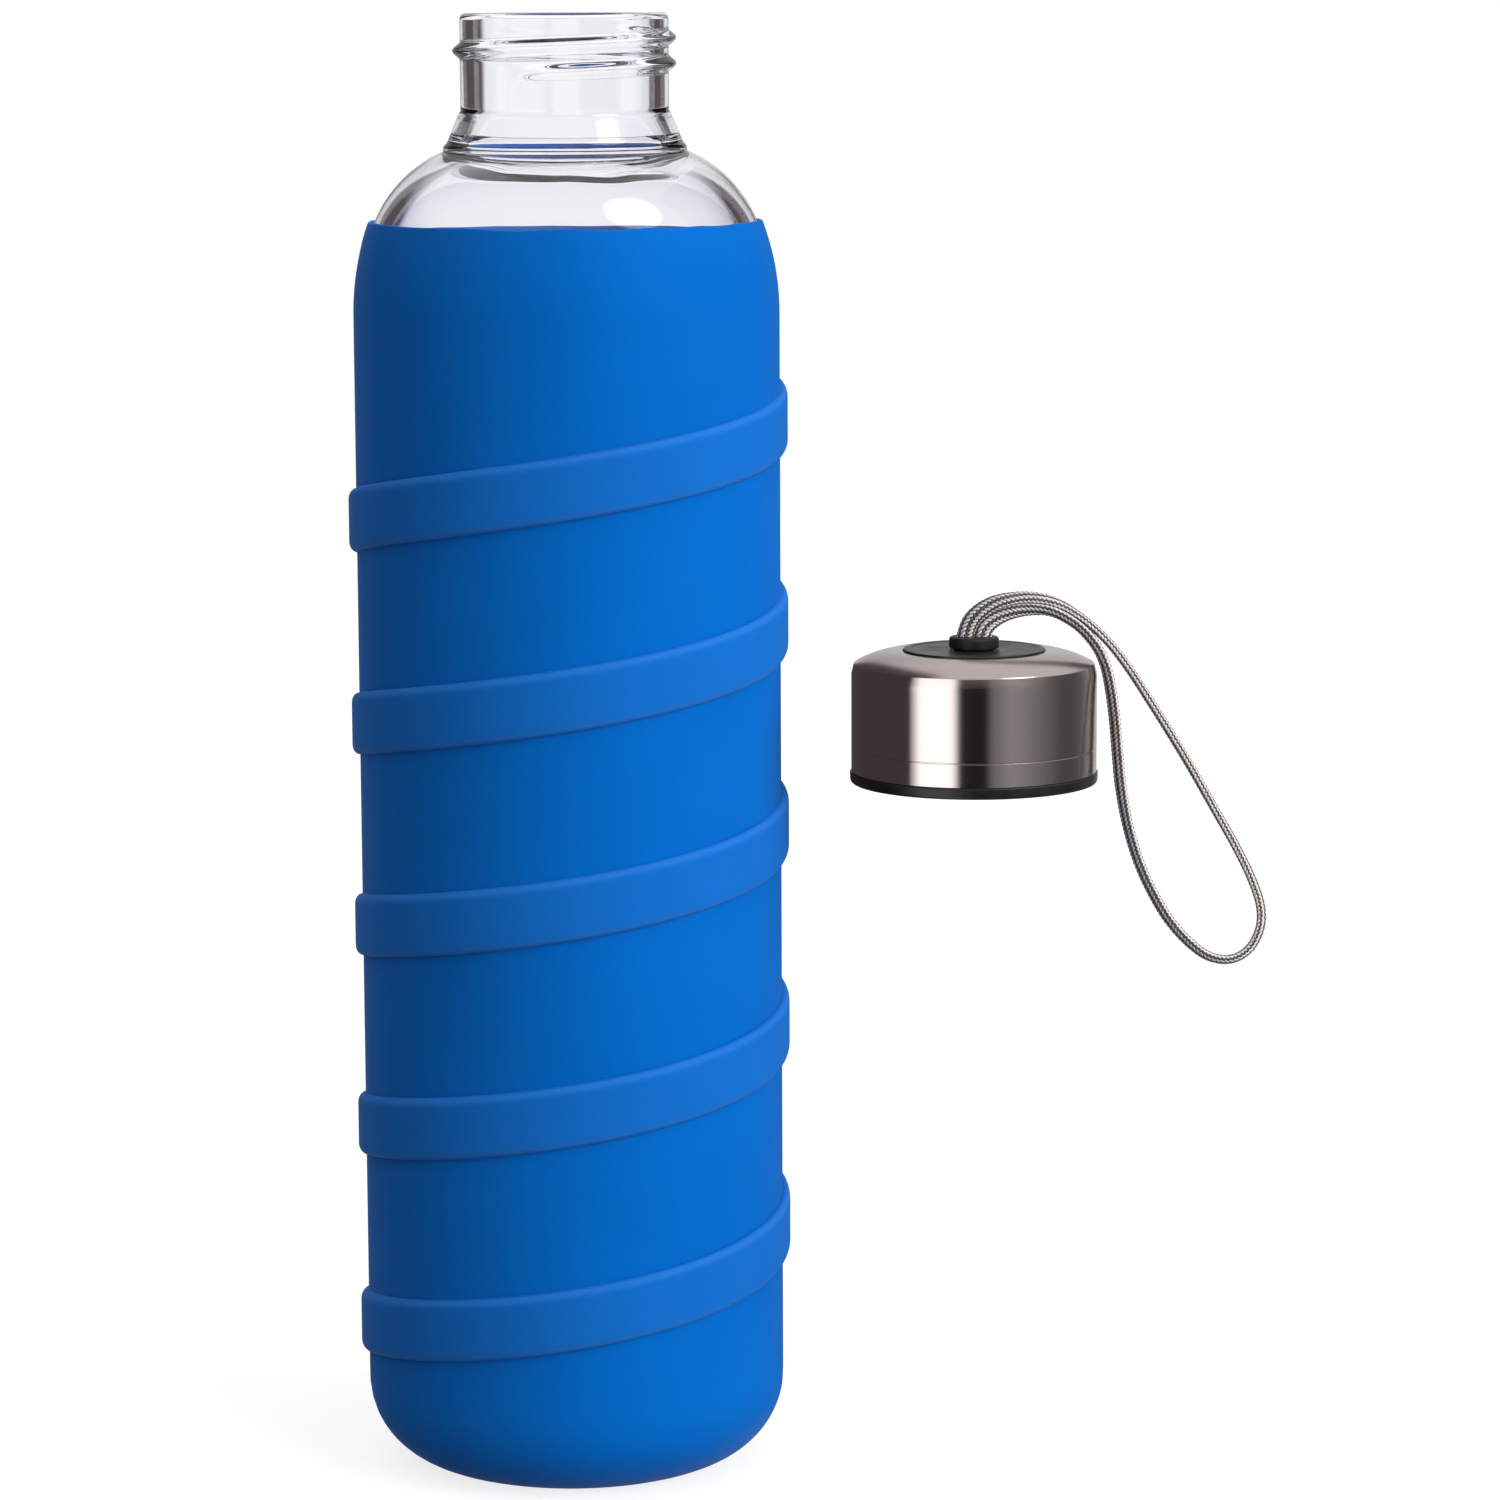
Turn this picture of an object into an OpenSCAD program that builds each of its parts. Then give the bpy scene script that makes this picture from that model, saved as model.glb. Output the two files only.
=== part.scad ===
// Glass water bottle: a thick glass bottle in a silicone sleeve with a raised spiral band,
// and its steel screw cap, taken off and held beside the bottle, with a loop of flat braided cord.
// Millimetres. Z is up. The origin is the centre of the flat underside of the sleeve.

/* [Bottle] */
// Height of the glass rim above the table
rim_z = 244.5; // [240:0.5:250]
// Outside radius of the glass body
body_r = 33.3; // [32.5:0.1:34]
// Wall thickness of the glass body
glass_wall = 2.6; // [2:0.1:3.2]
// Thickness of the glass floor
glass_floor = 6; // [4:0.5:9]
// Radius of the rounded shoulder
shoulder_r = 21.2; // [20.5:0.1:22]
// Height at which the body starts to curve into the shoulder
shoulder_z = 202.25; // [201:0.25:203]

/* [Neck] */
// Outside radius of the neck between the threads
neck_r = 17.25; // [17:0.05:17.4]
// Radius of the mouth
bore_r = 15; // [14.5:0.1:15.2]
// Outside radius of the neck's thread
thread_r = 18.5; // [18.3:0.05:18.6]
// Rise of the thread in one turn
thread_pitch = 4.2; // [4:0.1:4.4]
// Height of the lower end of the neck's thread
thread_z = 234.8; // [234.5:0.1:235]

/* [Sleeve] */
// Outside radius of the sleeve
sleeve_r = 35.4; // [35.2:0.1:36]
// Thickness of the sleeve under the glass
sleeve_floor = 2; // [1.5:0.1:2.5]
// Height of the sleeve's upper edge
sleeve_z = 210.5; // [209:0.5:211]
// Radius of the sleeve's rounded lower edge
foot_r = 14.2; // [13:0.1:15]
// How far the spiral band stands out
band_depth = 1.3; // [0.8:0.1:1.5]
// Width of the spiral band, measured upright
band_w = 10.5; // [9:0.5:12]
// Rise of the spiral band in one turn
band_pitch = 34.2; // [33:0.1:35]
// Number of turns of the spiral band
band_turns = 5; // [3:0.5:5]

/* [Cap] */
// Distance from the bottle's axis to the axis of the cap held beside it
cap_x = 67.85; // [64:0.05:90]
// Height of the lower edge of the cap held beside the bottle
cap_z = 116; // [60:1:180]
// Outside radius of the steel shell
shell_r = 20.65; // [20.6:0.05:21]
// Thickness of the shell's steel
shell_wall = 0.5; // [0.4:0.05:0.5]
// Height of the shell's dome above the cap's lower edge
dome_z = 22.3; // [22:0.1:22.6]
// Radius of the black disc in the middle of the dome
disc_r = 11.9; // [11:0.1:12.5]
// Depth from the cap's lower edge to the gasket
cap_depth = 14.5; // [14:0.1:14.6]

/* [Cord] */
// Width of the flat cord
cord_w = 2.8; // [2:0.1:3]
// Thickness of the flat cord
cord_t = 1.4; // [1:0.1:1.6]

/* [Hidden] */
$fn = 96;

// Space left between the sleeve and the glass, and between the liner and the shell
skin_gap = 0.1;
// Space between the swivelling grommet and the cap's holes
swivel_gap = 0.25;

// The glass
glass_z = sleeve_floor + skin_gap;
glass_foot_r = foot_r - sleeve_floor - skin_gap;
shoulder_x = body_r - shoulder_r;
collar_r = 20.2;
collar_z = 222.2;
collar_bead = 1.2;
ring_r = 17.65;
ring_z = 228;
lip_r = 1.1;
throat_r = 2.5;
throat_z = 228.8;
kink_r = 17.25;
kink_z = 224.2;
crown_x = 17.7;
crown_z = 219.3;
crown_drop = 0.45;
push_up = 1.2;
push_up_r = 14;

// The neck's thread: half width at the root and at the crest, and the angles at which it starts and ends
thread_start = -120;
thread_end = 430;
thread_root = 1.5;
thread_crest = 0.35;
thread_sunk = 0.65;
helix_step = 10;
helix_fade = 40;
end_scale = 0.3;

// The sleeve
sleeve_in = body_r + skin_gap;
sleeve_bend_z = 195;
sleeve_bend_r = 44.3;
band_start_z = 15.1;
band_start = 90;
band_sunk = 1;
band_edge = 0.8;

// The cap, measured from its axis and lower edge
flange_r = 20.9;
flange_h = 1.9;
seam_z = 6;
seam_r = 0.12;
bevel_z = 18.5;
bevel_r = 20.2;
dome_r = 16.8;
recess_z = 21.5;
recess_gap = 0.2;
disc_h = 1.1;
liner_bore_r = 18.95;
liner_crest_r = 17.65;
gasket_in_r = 13.2;
gasket_r = 18.3;
gasket_h = 1.5;
plate_h = 1.5;
chamber_r = 17;
liner_top = 19.4;
boss_r = 4.2;
boss_h = 1.85;
stem_r = 3.2;
ferrule_r = 4.2;
ferrule_z = 17.9;
ferrule_h = 2.8;

// The cap's height when it is screwed down on the rim, which sets where its own thread has to be
closed_z = rim_z - cap_depth;
cap_thread_start = -60;
cap_thread_end = 390;

// The cord's route, from one slot of the ferrule round the loop and back: x, y and z from the cap's axis
// and lower edge, and the angle that the flat of the cord is turned to
cord_gap = 0.1;
cord_sides = 8;
cord_steps = 2;
slot_x = 1.5;
cord_route = [
    [-1.5, 0, 18, 90], [-1.5, 0, 21, 90], [-1.5, 0, 24.6, 90], [-0.2, 0.1, 27.7, 75], [2.9, 0.2, 30, 50],
    [6.7, 0.2, 31, 30], [10.7, 0.2, 31, 20], [14.7, 0.2, 29.8, 10], [18.7, 0.2, 27.1, 0], [22.3, 0.2, 23.8, 0],
    [25.7, 0.2, 19.5, 0], [29.3, 0, 14, 0], [32.9, 0, 8.3, 0], [36.7, 0, 2, 0], [40.7, 0, -5, 5],
    [44.3, 0, -11.3, 10], [47.1, 0, -17, 15], [48.6, -0.2, -21.6, 20], [48.5, -0.5, -25.4, 25],
    [46.7, -0.8, -28.8, 25], [43.7, -1, -30.5, 25], [40.1, -1.2, -30.1, 25], [36.7, -1.3, -27.8, 25],
    [33.1, -1.4, -23.8, 25], [30.1, -1.5, -18.8, 25], [27.7, -1.5, -13.4, 25], [25.9, -1.5, -7.4, 25],
    [24.7, -1.5, -1, 28], [24.1, -1.5, 4.8, 28], [23.6, -1.5, 10.4, 28], [22.9, -1.4, 15.6, 28],
    [21.9, -1.2, 20, 25], [20.1, -0.8, 23.5, 25], [17.1, -0.4, 26.6, 25], [13.2, 0, 28.7, 30],
    [9.2, 0.2, 29.1, 45], [5.3, 0.3, 28.3, 60], [2.6, 0.2, 26.7, 80], [1.5, 0, 24.6, 90], [1.5, 0, 21, 90],
    [1.5, 0, 18, 90]
];

// Points on a round stretch of an outline
function arc(x, y, r, from, to, steps) =
    [for (i = [0:steps]) let (a = from + (to - from) * i / steps) [x + r * cos(a), y + r * sin(a)]];

function reversed(list) = [for (i = [len(list) - 1:-1:0]) list[i]];

function unit(v) = v / norm(v);

// A closed skin over rings of points, which all have the same number of points
module skin(rings) {
    n = len(rings[0]);
    last = len(rings) - 1;
    points = [for (ring = rings) each ring];
    sides = [for (i = [0:last - 1], k = [0:n - 1])
        [i * n + k, (i + 1) * n + k, (i + 1) * n + (k + 1) % n, i * n + (k + 1) % n]];
    triangles = [for (q = sides) each [[q[0], q[1], q[2]], [q[0], q[2], q[3]]]];
    first_end = [for (k = [0:n - 1]) k];
    last_end = [for (k = [n - 1:-1:0]) last * n + k];
    polyhedron(points = points, faces = concat(triangles, [first_end, last_end]), convexity = 10);
}

// A ridge wound round the Z axis. section holds [distance from the root radius, height] pairs, and the
// ridge's ends sink to end_scale of that distance, which is inside the wall that it stands on
module helix_ridge(root_r, section, pitch, start_z, start_a, end_a) {
    steps = ceil((end_a - start_a) / helix_step);
    rings = [for (i = [0:steps])
        let (
            a = start_a + (end_a - start_a) * i / steps,
            f = min(1, (a - start_a) / helix_fade, (end_a - a) / helix_fade),
            s = end_scale + (1 - end_scale) * f
        )
        [for (q = section)
            let (r = root_r + q[0] * s)
            [r * cos(a), r * sin(a), start_z + pitch * (a - start_a) / 360 + q[1]]]];
    skin(rings);
}

module glass_bottle() {
    inner_shoulder_r = shoulder_r - glass_wall;
    // Inside, the neck widens under the ring, and again at a ridge where the shoulder begins
    crown_a = acos((crown_x - shoulder_x) / inner_shoulder_r) - 4;
    throat_slope = atan((kink_r - bore_r) / (throat_z - kink_z));
    throat_top = throat_z + throat_r * tan(throat_slope / 2);
    collar_a = acos((collar_r - collar_bead - shoulder_x) / shoulder_r);
    inner_foot_r = glass_foot_r - glass_wall;
    foot_x = body_r - glass_foot_r;
    floor_z = glass_z + glass_floor;
    outside = concat(
        [[0, glass_z + push_up], [push_up_r - 4, glass_z + push_up], [push_up_r, glass_z]],
        arc(foot_x, glass_z + glass_foot_r, glass_foot_r, -90, 0, 8),
        arc(shoulder_x, shoulder_z, shoulder_r, 0, collar_a, 10),
        [[collar_r - 0.6, collar_z + 1], [ring_r, ring_z], [neck_r, ring_z + 0.4]],
        arc(neck_r - lip_r, rim_z - lip_r, lip_r, 0, 90, 4)
    );
    inside = concat(
        [[0, floor_z]],
        arc(foot_x, floor_z + inner_foot_r, inner_foot_r, -90, 0, 6),
        arc(shoulder_x, shoulder_z - crown_drop, inner_shoulder_r, 0, crown_a, 10),
        [[crown_x, crown_z], [kink_r, kink_z]],
        arc(bore_r + throat_r, throat_top, throat_r, 180 + throat_slope, 180, 4),
        arc(bore_r + lip_r, rim_z - lip_r, lip_r, 180, 90, 4)
    );
    thread_in = neck_r - thread_sunk;
    thread_out = thread_r - thread_in;
    thread_section = [
        [0, -thread_root], [0, thread_root], [thread_out * 0.7, (thread_root + thread_crest) / 2],
        [thread_out, thread_crest], [thread_out, -thread_crest], [thread_out * 0.7, -(thread_root + thread_crest) / 2]
    ];
    color("aliceblue", 0.4) {
        rotate_extrude() {
            polygon(concat(outside, reversed(inside)));
            translate([collar_r - collar_bead, collar_z]) circle(r = collar_bead);
        }
        helix_ridge(thread_in, thread_section, thread_pitch, thread_z, thread_start, thread_end);
    }
}

module silicone_sleeve() {
    foot_x = sleeve_r - foot_r;
    bend_a = asin((sleeve_z - sleeve_bend_z) / sleeve_bend_r);
    inner_bend_r = shoulder_r + skin_gap;
    inner_bend_a = asin((sleeve_z - shoulder_z) / inner_bend_r);
    outside = concat(
        [[0, 0]],
        arc(foot_x, foot_r, foot_r, -90, 0, 10),
        arc(sleeve_r - sleeve_bend_r, sleeve_bend_z, sleeve_bend_r, 0, bend_a, 6)
    );
    inside = concat(
        [[0, sleeve_floor]],
        arc(sleeve_in - glass_foot_r, sleeve_floor + glass_foot_r, glass_foot_r, -90, 0, 10),
        arc(shoulder_x, shoulder_z, inner_bend_r, 0, inner_bend_a, 5)
    );
    half_w = band_w / 2;
    band_in = sleeve_r - band_sunk;
    band_out = band_sunk + band_depth;
    band_section = [
        [0, -half_w], [0, half_w], [band_out - band_edge, half_w], [band_out, half_w - band_edge],
        [band_out, band_edge - half_w], [band_out - band_edge, -half_w]
    ];
    color("dodgerblue") {
        rotate_extrude() polygon(concat(outside, reversed(inside)));
        helix_ridge(
            band_in, band_section, band_pitch, band_start_z, band_start, band_start + 360 * band_turns
        );
    }
}

// Everything on the cap is drawn about the cap's own axis and lower edge
module at_cap() {
    translate([cap_x, 0, cap_z]) children();
}

module cap_shell() {
    dome_base = dome_z - dome_r;
    edge_a = acos((bevel_r - disc_r) / dome_r);
    recess_r = disc_r + recess_gap;
    inner_r = dome_r - shell_wall;
    outside = concat(
        [[shell_r, flange_h], [shell_r, bevel_z]],
        arc(disc_r, dome_base, dome_r, edge_a, 89, 8),
        [[recess_r, dome_z], [recess_r, recess_z], [stem_r + swivel_gap, recess_z]]
    );
    inside = concat(
        [[shell_r - shell_wall, flange_h], [shell_r - shell_wall, bevel_z]],
        arc(disc_r, dome_base, inner_r, edge_a + 1, 87, 8),
        [[recess_r + shell_wall, recess_z - shell_wall], [stem_r + swivel_gap, recess_z - shell_wall]]
    );
    color("silver") at_cap() rotate_extrude() difference() {
        polygon(concat(outside, reversed(inside)));
        translate([shell_r, seam_z]) circle(r = seam_r);
    }
}

module cap_liner() {
    wall_r = shell_r - shell_wall - skin_gap;
    gasket_top = cap_depth + gasket_h;
    liner_root = liner_bore_r + 0.65;
    crest = liner_crest_r - liner_root;
    ridge_section = [[0, 1.2], [0, -1.2], [crest, -0.5], [crest, 0.5]];
    ridge_turn = cap_thread_start - thread_start;
    ridge_z = thread_z + thread_pitch * (ridge_turn / 360 - 0.5) - closed_z;
    color([0.08, 0.08, 0.09]) at_cap() {
        rotate_extrude() polygon([
            [liner_bore_r + 0.4, 0], [flange_r - 0.5, 0], [flange_r, 0.5], [flange_r, flange_h],
            [wall_r, flange_h], [wall_r, bevel_z - 0.4], [wall_r - 0.6, liner_top], [chamber_r, liner_top],
            [chamber_r, gasket_top + plate_h], [0, gasket_top + plate_h], [0, gasket_top],
            [liner_bore_r, gasket_top], [liner_bore_r, 0.4]
        ]);
        helix_ridge(liner_root, ridge_section, thread_pitch, ridge_z, cap_thread_start, cap_thread_end);
    }
}

module cap_gasket() {
    color("whitesmoke") at_cap() translate([0, 0, cap_depth]) difference() {
        cylinder(r = gasket_r, h = gasket_h);
        translate([0, 0, -1]) cylinder(r = gasket_in_r, h = gasket_h + 2);
    }
}

module cap_disc() {
    color([0.05, 0.05, 0.06]) at_cap() translate([0, 0, recess_z]) difference() {
        cylinder(r = disc_r, h = disc_h);
        translate([0, 0, -1]) cylinder(r = stem_r + swivel_gap, h = disc_h + 2);
    }
}

// The slot that both strands of the cord lie in, side by side
module cord_slot(height) {
    slot_r = cord_t / 2 + cord_gap;
    slot_end = slot_x + cord_w / 2 + cord_gap - slot_r;
    translate([-slot_end, -slot_r, 0]) cube([2 * slot_end, 2 * slot_r, height]);
    for (side = [-1, 1]) translate([side * slot_end, 0, 0]) cylinder(r = slot_r, h = height);
}

module cord_grommet() {
    boss_z = recess_z + disc_h + 0.15;
    stem_z = ferrule_z + ferrule_h;
    top_z = boss_z + boss_h;
    edge = 0.5;
    color([0.05, 0.05, 0.06]) at_cap() difference() {
        rotate_extrude() polygon(concat(
            [[0, stem_z], [stem_r, stem_z], [stem_r, boss_z], [boss_r, boss_z]],
            arc(boss_r - edge, top_z - edge, edge, 0, 90, 4),
            [[0, top_z]]
        ));
        translate([0, 0, stem_z - 1]) cord_slot(top_z - stem_z + 2);
    }
}

module cord_ferrule() {
    color("dimgray") at_cap() translate([0, 0, ferrule_z]) difference() {
        cylinder(r = ferrule_r, h = ferrule_h);
        translate([0, 0, -1]) cord_slot(ferrule_h + 2);
    }
}

// A point between route points i and i + 1, on a curve that passes through them all
function on_route(i, t) =
    let (
        last = len(cord_route) - 1,
        a = cord_route[max(i - 1, 0)],
        b = cord_route[i],
        c = cord_route[min(i + 1, last)],
        d = cord_route[min(i + 2, last)]
    )
    (2 * b + (c - a) * t + (2 * a - 5 * b + 4 * c - d) * t * t + (3 * b - a - 3 * c + d) * t * t * t) / 2;

function place(q) = [q[0], q[1], q[2]];

module strap_cord() {
    last = len(cord_route) - 1;
    line = concat(
        [for (i = [0:last - 1], k = [0:cord_steps - 1]) on_route(i, k / cord_steps)],
        [cord_route[last]]
    );
    rings = [for (i = [0:len(line) - 1])
        let (
            here = place(line[i]),
            ahead = unit(place(line[min(i + 1, len(line) - 1)]) - place(line[max(i - 1, 0)])),
            flat = unit([0, 1, 0] - ahead[1] * ahead),
            up = cross(ahead, flat),
            roll = line[i][3],
            wide = flat * cos(roll) + up * sin(roll),
            thick = up * cos(roll) - flat * sin(roll)
        )
        [for (k = [0:cord_sides - 1])
            let (a = 360 * k / cord_sides)
            here + wide * cos(a) * cord_w / 2 + thick * sin(a) * cord_t / 2]];
    color("gray") at_cap() skin(rings);
}

glass_bottle();
silicone_sleeve();
cap_shell();
cap_liner();
cap_gasket();
cap_disc();
cord_grommet();
cord_ferrule();
strap_cord();
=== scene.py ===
"""Looks of the glass water bottle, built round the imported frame: a clear glass bottle, its silicone
sleeve, and the steel screw cap held beside it on a flat braided cord. The sizes of pieces are in
millimetres. The camera, the studio and the materials are in metres."""
import math

import bmesh
import bpy
from mathutils import Matrix, Vector, noise


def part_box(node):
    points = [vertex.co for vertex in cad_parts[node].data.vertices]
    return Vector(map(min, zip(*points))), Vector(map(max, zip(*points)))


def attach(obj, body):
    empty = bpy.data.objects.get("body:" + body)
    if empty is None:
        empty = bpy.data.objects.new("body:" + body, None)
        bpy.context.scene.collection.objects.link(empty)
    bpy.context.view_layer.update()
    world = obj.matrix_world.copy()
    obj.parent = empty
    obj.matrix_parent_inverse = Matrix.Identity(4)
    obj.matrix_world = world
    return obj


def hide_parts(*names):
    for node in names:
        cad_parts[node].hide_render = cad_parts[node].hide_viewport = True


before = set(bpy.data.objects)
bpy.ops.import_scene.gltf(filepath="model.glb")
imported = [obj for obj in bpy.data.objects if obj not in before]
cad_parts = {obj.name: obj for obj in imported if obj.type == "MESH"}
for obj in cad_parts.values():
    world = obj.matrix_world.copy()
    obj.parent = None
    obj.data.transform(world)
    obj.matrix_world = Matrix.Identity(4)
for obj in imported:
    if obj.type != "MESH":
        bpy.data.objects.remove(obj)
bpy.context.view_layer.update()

MM = 0.001
SEGMENTS = 192
ON_AXIS = 1e-6

# The camera: level with the rim, 84 cm in front, looking down by what its tilt lacks of 90 degrees
CAMERA_PLACE = (0.0307, -0.84, 0.247)
CAMERA_TILT = 81.5
CAMERA_ROLL = 0.25
CAMERA_LENS = 121

# The studio: directions point from the object to the light
KEY_DIRECTION = (0.783, -0.549, 0.292)
KEY_STRENGTH = 3.3
KEY_WIDTH = 50
FLOOR_R = 1.6
FLOOR_GLOW = 0.8
CARD_X = 0.0415
CARD_FRONT = -0.0245
CARD_BACK = 0.045
CARD_TOP = 0.25
CARD_GLOW = (0.068, 0.053, 0.06, 1)
CEILING_FROM = 0.35
CEILING_FULL = 0.6
LAMP_DIRECTION = (0.54, -0.33, 0.78)
LAMP_EDGE = 15.5
LAMP_FULL = 13.5
WALL_GAIN = (1.8, 1.8, 1.8, 1)
SCREEN_HALF = 16
SCREEN_EDGE = 19
# What glass shows in the gaps between its white screens
SCREEN_GAP = (0.1, 0.082, 0.085)

# The frame gives the places that everything else is measured from
RIM_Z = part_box("glass_bottle")[1].z / MM
LIP_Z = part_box("silicone_sleeve")[1].z / MM
CAP_LOW, CAP_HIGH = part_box("cap_liner")
CAP_AXIS = Vector(((CAP_LOW.x + CAP_HIGH.x) / 2, 0, CAP_LOW.z))

# The glass
BODY_R = 33.3
GLASS_WALL = 2.6
GLASS_FLOOR = 6
SHOULDER_R = 21.2
SHOULDER_Z = 202.25
SHOULDER_X = BODY_R - SHOULDER_R
NECK_R = 17.25
BORE_R = 15
LIP_R = 1.1
# Inside, the shoulder's arc stops CROWN_ROOM degrees short of a ridge. Corners are r, z and rounding
CROWN_DROP = 0.45
CROWN_ROOM = 4
CROWN = (17.7, 219.3, 0.3)
KINK = (17.25, 224.2, 0.4)
THROAT = (BORE_R, 228.8, 2.5)
COLLAR_X = 19
COLLAR_Z = 222.2
COLLAR_BEAD = 1.2
BEAD_FROM = -30
BEAD_TO = 60
RING_R = 17.65
RING_Z = 228
RING_STEP = 0.5
GLASS_FOOT_R = 12.1
GLASS_Z = 2.1
PUNT = ((0, 1.2), (9, 1.2), (12, 0.8), (14, 0))
# The inner surface's waves: how far out and up they go, and where and over what height they are largest
WAVE_OUT = 0.04
WAVE_OUT_NEAR = 0.08
WAVE_UP_NEAR = 0.35
WAVE_BELOW_KINK = 2
WAVE_REACH = 4

# The neck's thread
THREAD_PITCH = 4.2
THREAD_Z = 234.8
THREAD_START = -120
THREAD_END = 430
THREAD_DEPTH = 1.25
THREAD_HALF = 1.5
THREAD_FADE = 40
THREAD_CREST = 0.8
THREAD_ROOM = 2.5

# The sleeve and its spiral band
SLEEVE_R = 35.4
SLEEVE_FLOOR = 2
FOOT_R = 14.2
FOOT_SPIRAL = 6
BEND_Z = 195
BEND_R = 44.3
SLEEVE_GAP = 0.1
LIP_ROUND = 0.4
LIP_WAVY = 7
BAND_HALF = 5.25
BAND_DEPTH = 1.3
BAND_EDGE = 1.8
BAND_ROUND = 2.1
BAND_PITCH = 34.2
BAND_Z = 15.1
BAND_START = 90
BAND_TURNS = 5
BAND_END = BAND_START + 360 * BAND_TURNS
BAND_FADE = 14

# The cap, from its own axis and lower edge
SHELL_R = 20.65
SHELL_WALL = 0.5
FLANGE_R = 20.9
FLANGE_H = 1.9
SEAM_Z = 6
SEAM_DEPTH = 0.1
SEAM_HALF = 0.14
SEAM_FLAT = 0.04
SHELL_EDGE = 0.12
BEVEL_Z = 18.5
BEVEL_R = 20.2
DOME_R = 16.8
DOME_Z = 22.3
DISC_R = 11.9
DISC_Z = 21.5
DISC_H = 1.1
DISC_STEP = 0.12
DISC_GAP = 0.12
STEM_R = 3.2
HOLE_R = STEM_R + 0.25
BOSS_R = 4.2
BOSS_Z = 22.75
BOSS_H = 1.85
STEM_Z = 20.7
LINER_BORE_R = 18.95
LINER_WALL_R = 20.05
LINER_PLATE = 1.5
LINER_TOP_R = 17
LINER_TOP_Z = 19.4
LINER_THREAD_Z = 3.4
LINER_THREAD_START = -60
LINER_THREAD_END = 390
LINER_THREAD_DEPTH = 1.3
LINER_THREAD_HALF = 1.2
GASKET_Z = 14.5
GASKET_H = 1.5
GASKET_IN_R = 13.2
GASKET_OUT_R = 18.3

# The cord: its section, its yarns, and its slot in the grommet
CORD_W = 2.8
CORD_T = 1.4
SLOT_X = 1.5
CORD_GAP = 0.1
CORD_STEP = 0.24
YARNS_EACH_WAY = 12
YARN_LAY = 9.0
YARN_W = 0.23
YARN_T = 0.12
YARN_RIPPLE = 0.1
YARN_CLEAR = 0.02
YARN_CORNERS = (-30, 40, 90, 140, 210)
CORE_W = 0.92
CORE_T = 0.9

# The cord's route from slot to slot, from the cap's lower edge: x, y, z and the turn of its flat side
CORD_ROUTE = [
    (-1.5, 0, 18, 90), (-1.5, 0, 21, 90), (-1.5, 0, 24.6, 90), (-0.2, 0.1, 27.7, 75),
    (2.9, 0.2, 30, 50), (6.7, 0.2, 31, 30), (10.7, 0.2, 31, 20), (14.7, 0.2, 29.8, 10),
    (18.7, 0.2, 27.1, 0), (22.3, 0.2, 23.8, 0), (25.7, 0.2, 19.5, 0), (29.3, 0, 14, 0),
    (32.9, 0, 8.3, 0), (36.7, 0, 2, 0), (40.7, 0, -5, 5), (44.3, 0, -11.3, 10),
    (47.1, 0, -17, 15), (48.6, -0.2, -21.6, 20), (48.5, -0.5, -25.4, 25),
    (46.7, -0.8, -28.8, 25), (43.7, -1, -30.5, 25), (40.1, -1.2, -30.1, 25),
    (36.7, -1.3, -27.8, 25), (33.1, -1.4, -23.8, 25), (30.1, -1.5, -18.8, 25),
    (27.7, -1.5, -13.4, 25), (25.9, -1.5, -7.4, 25), (24.7, -1.5, -1, 28), (24.1, -1.5, 4.8, 28),
    (23.6, -1.5, 10.4, 28), (22.9, -1.4, 15.6, 28), (21.9, -1.2, 20, 25), (20.1, -0.8, 23.5, 25),
    (17.1, -0.4, 26.6, 25), (13.2, 0, 28.7, 30), (9.2, 0.2, 29.1, 45), (5.3, 0.3, 28.3, 60),
    (2.6, 0.2, 26.7, 80), (1.5, 0, 24.6, 90), (1.5, 0, 21, 90), (1.5, 0, 18, 90),
]

scene = bpy.context.scene
scene.view_settings.view_transform = "Standard"


# ---------------------------------------------------------------- camera, light and floor

def add_camera():
    data = bpy.data.cameras.new("camera")
    data.lens = CAMERA_LENS
    data.sensor_width = 36
    camera = bpy.data.objects.new("camera", data)
    camera.location = CAMERA_PLACE
    camera.rotation_euler = (math.radians(CAMERA_TILT), math.radians(CAMERA_ROLL), 0)
    scene.collection.objects.link(camera)
    scene.camera = camera


def add_key_light():
    """One wide soft light, low on the right and a little to the camera's side, which lights evenly."""
    data = bpy.data.lights.new("key_light", "SUN")
    data.energy = KEY_STRENGTH
    data.angle = math.radians(KEY_WIDTH)
    lamp = bpy.data.objects.new("key_light", data)
    lamp.rotation_euler = Vector(KEY_DIRECTION).to_track_quat("Z", "Y").to_euler()
    lamp.visible_glossy = False
    lamp.visible_transmission = False
    scene.collection.objects.link(lamp)


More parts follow.
